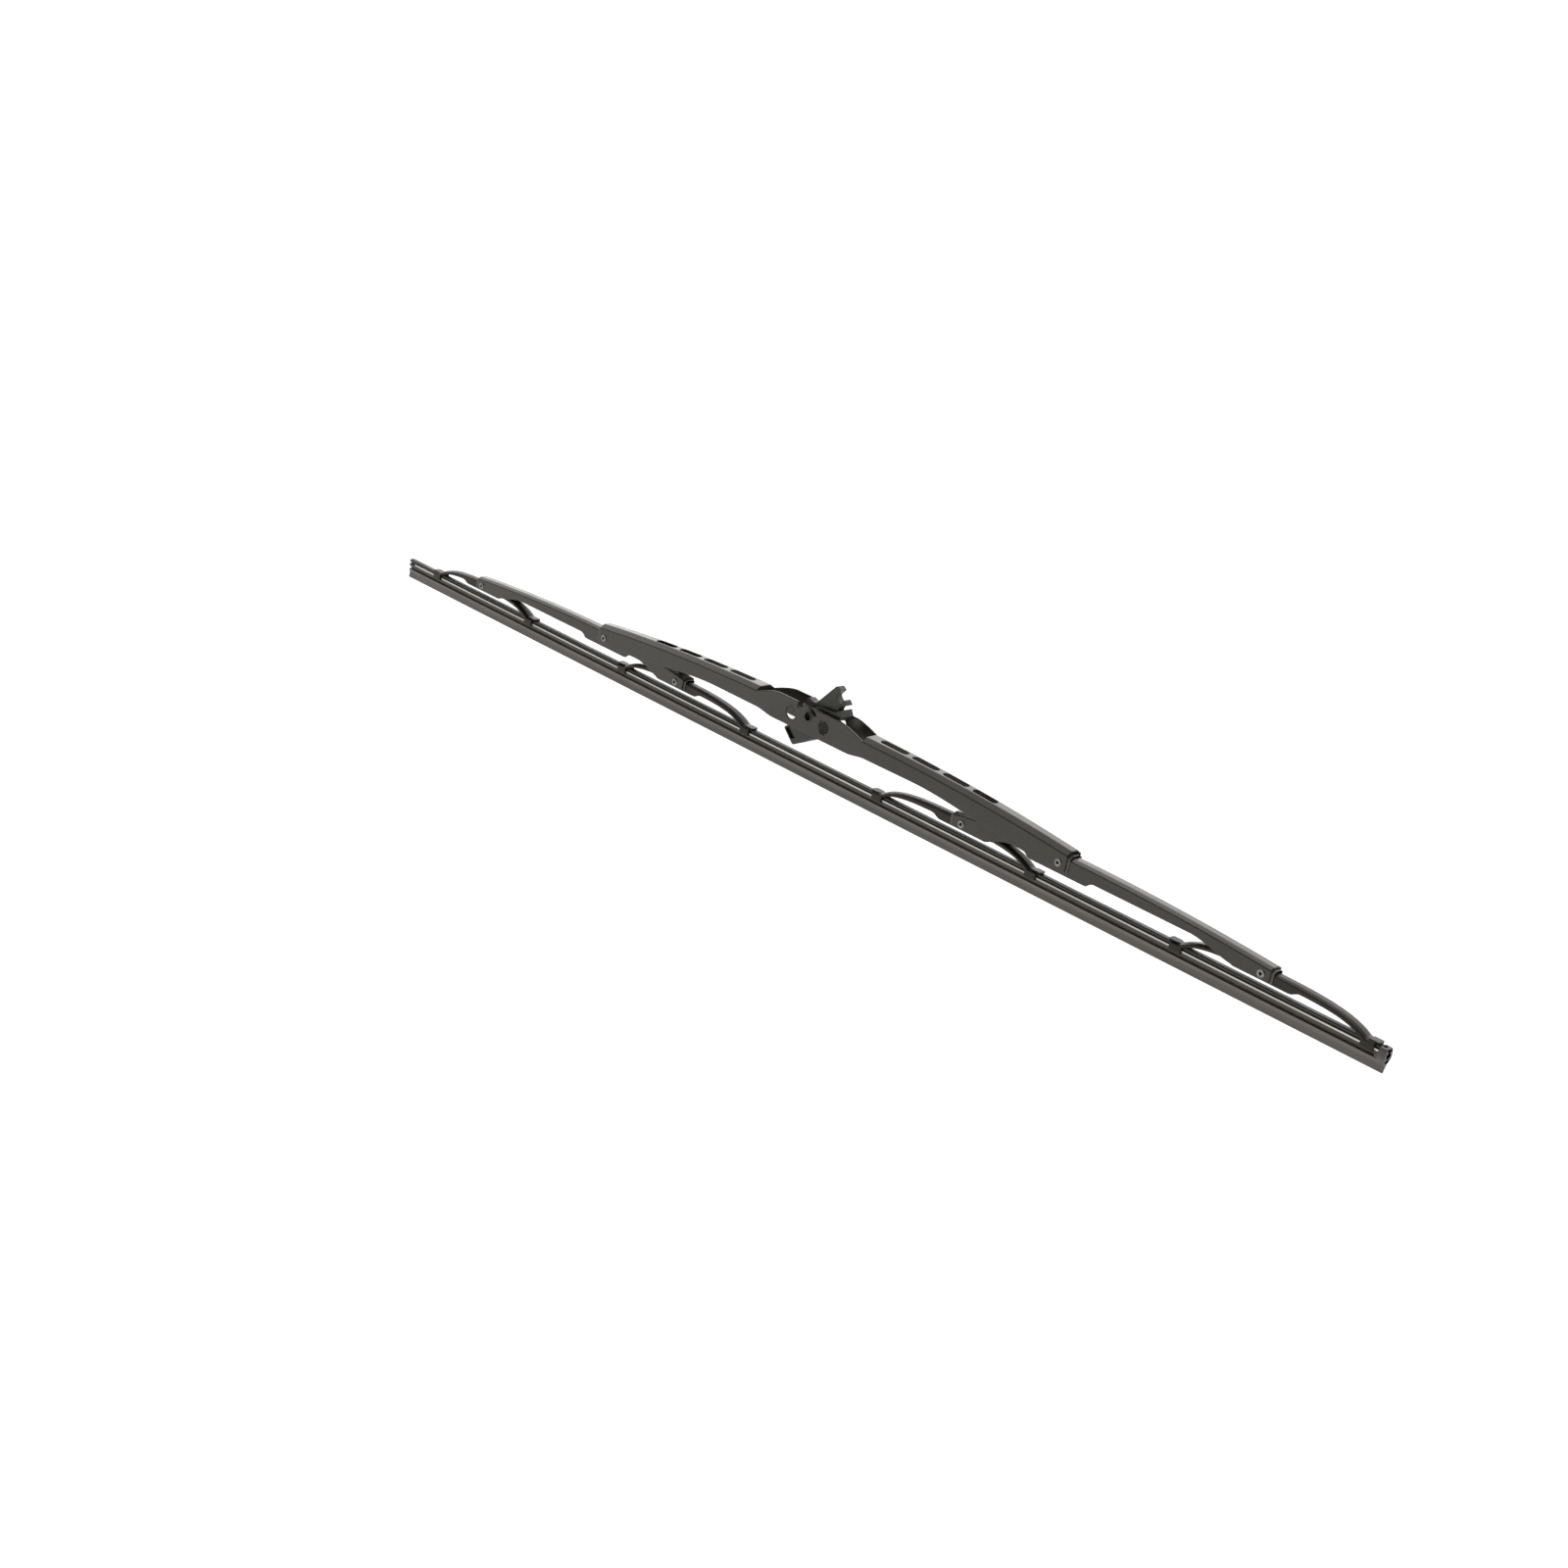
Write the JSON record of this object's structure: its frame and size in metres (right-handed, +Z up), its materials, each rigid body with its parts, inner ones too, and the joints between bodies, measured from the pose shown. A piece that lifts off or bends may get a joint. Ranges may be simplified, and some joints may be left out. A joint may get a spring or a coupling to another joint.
{
  "type": "windscreen wiper blade",
  "caption": "Sprung-frame windscreen wiper blade: bridged steel channel brackets, claws gripping a rubber element with flexor strips, and a swivelling hook clip at the middle.",
  "frame": {"origin": "on the wiping lip's lower edge, under the middle of the steel frame", "axes": "+X along the blade toward the near end, +Z up from the lip to the frame, -Y toward the side the picture shows"},
  "size_m": [0.65, 0.0128, 0.0512],
  "materials": {
    "bracket_paint": "satin",
    "rivet_steel": "satin",
    "strip_steel": "satin",
    "wiper_rubber": "satin",
    "liner_plastic": "matte",
    "clip_plastic": "satin"
  },
  "bodies": {
    "frame": {"main_bracket": "bracket_paint", "primary_rivet_left": "rivet_steel", "primary_rivet_right": "rivet_steel", "primary_liner_left": "liner_plastic", "primary_liner_right": "liner_plastic", "cross_pin": "bracket_paint", "rubber_element": "wiper_rubber", "flexor_front": "strip_steel", "flexor_back": "strip_steel"},
    "clip": {"hook_clip": "clip_plastic"},
    "secondary_left": {"secondary_bracket_left": "bracket_paint", "bridge_rivet_1": "rivet_steel", "bridge_rivet_2": "rivet_steel", "bridge_liner_1": "liner_plastic", "bridge_liner_2": "liner_plastic"},
    "secondary_right": {"secondary_bracket_right": "bracket_paint", "bridge_rivet_3": "rivet_steel", "bridge_rivet_4": "rivet_steel", "bridge_liner_3": "liner_plastic", "bridge_liner_4": "liner_plastic"},
    "bridge_1": {"claw_bridge_1": "bracket_paint"},
    "bridge_2": {"claw_bridge_2": "bracket_paint"},
    "bridge_3": {"claw_bridge_3": "bracket_paint"},
    "bridge_4": {"claw_bridge_4": "bracket_paint"}
  },
  "joints": [
    {"name": "clip_swivel", "type": "hinge", "parent": "frame", "child": "clip", "pos_m": [-0.0023, 0, 0.0325], "axis": [0, 1, 0], "range_deg": [-12, 36]},
    {"name": "secondary_left_pivot", "type": "hinge", "parent": "frame", "child": "secondary_left", "pos_m": [-0.1538, 0, 0.0213], "axis": [0, -1, 0], "range_deg": [-1.5, 4], "stiffness_Nm_per_rad": 2, "deforming": ["rubber_element", "flexor_front", "flexor_back"]},
    {"name": "secondary_right_pivot", "type": "hinge", "parent": "frame", "child": "secondary_right", "pos_m": [0.1538, 0, 0.0213], "axis": [0, -1, 0], "range_deg": [-4, 1.5]},
    {"name": "bridge_1_pivot", "type": "hinge", "parent": "secondary_left", "child": "bridge_1", "pos_m": [-0.2601, 0, 0.0165], "axis": [0, -1, 0], "range_deg": [-1, 2.2]},
    {"name": "bridge_2_pivot", "type": "hinge", "parent": "secondary_left", "child": "bridge_2", "pos_m": [-0.0977, 0, 0.0165], "axis": [0, -1, 0], "range_deg": [-2.2, 1]},
    {"name": "bridge_3_pivot", "type": "hinge", "parent": "secondary_right", "child": "bridge_3", "pos_m": [0.0977, 0, 0.0165], "axis": [0, -1, 0], "range_deg": [-1, 2.2]},
    {"name": "bridge_4_pivot", "type": "hinge", "parent": "secondary_right", "child": "bridge_4", "pos_m": [0.2601, 0, 0.0165], "axis": [0, -1, 0], "range_deg": [-2.2, 1]}
  ],
  "couplings": [
    {"joint": "secondary_right_pivot", "follows": "secondary_left_pivot", "ratio": -1},
    {"joint": "bridge_1_pivot", "follows": "secondary_left_pivot", "ratio": 0.48},
    {"joint": "bridge_2_pivot", "follows": "secondary_left_pivot", "ratio": -0.48},
    {"joint": "bridge_3_pivot", "follows": "secondary_left_pivot", "ratio": 0.48},
    {"joint": "bridge_4_pivot", "follows": "secondary_left_pivot", "ratio": -0.48}
  ]
}
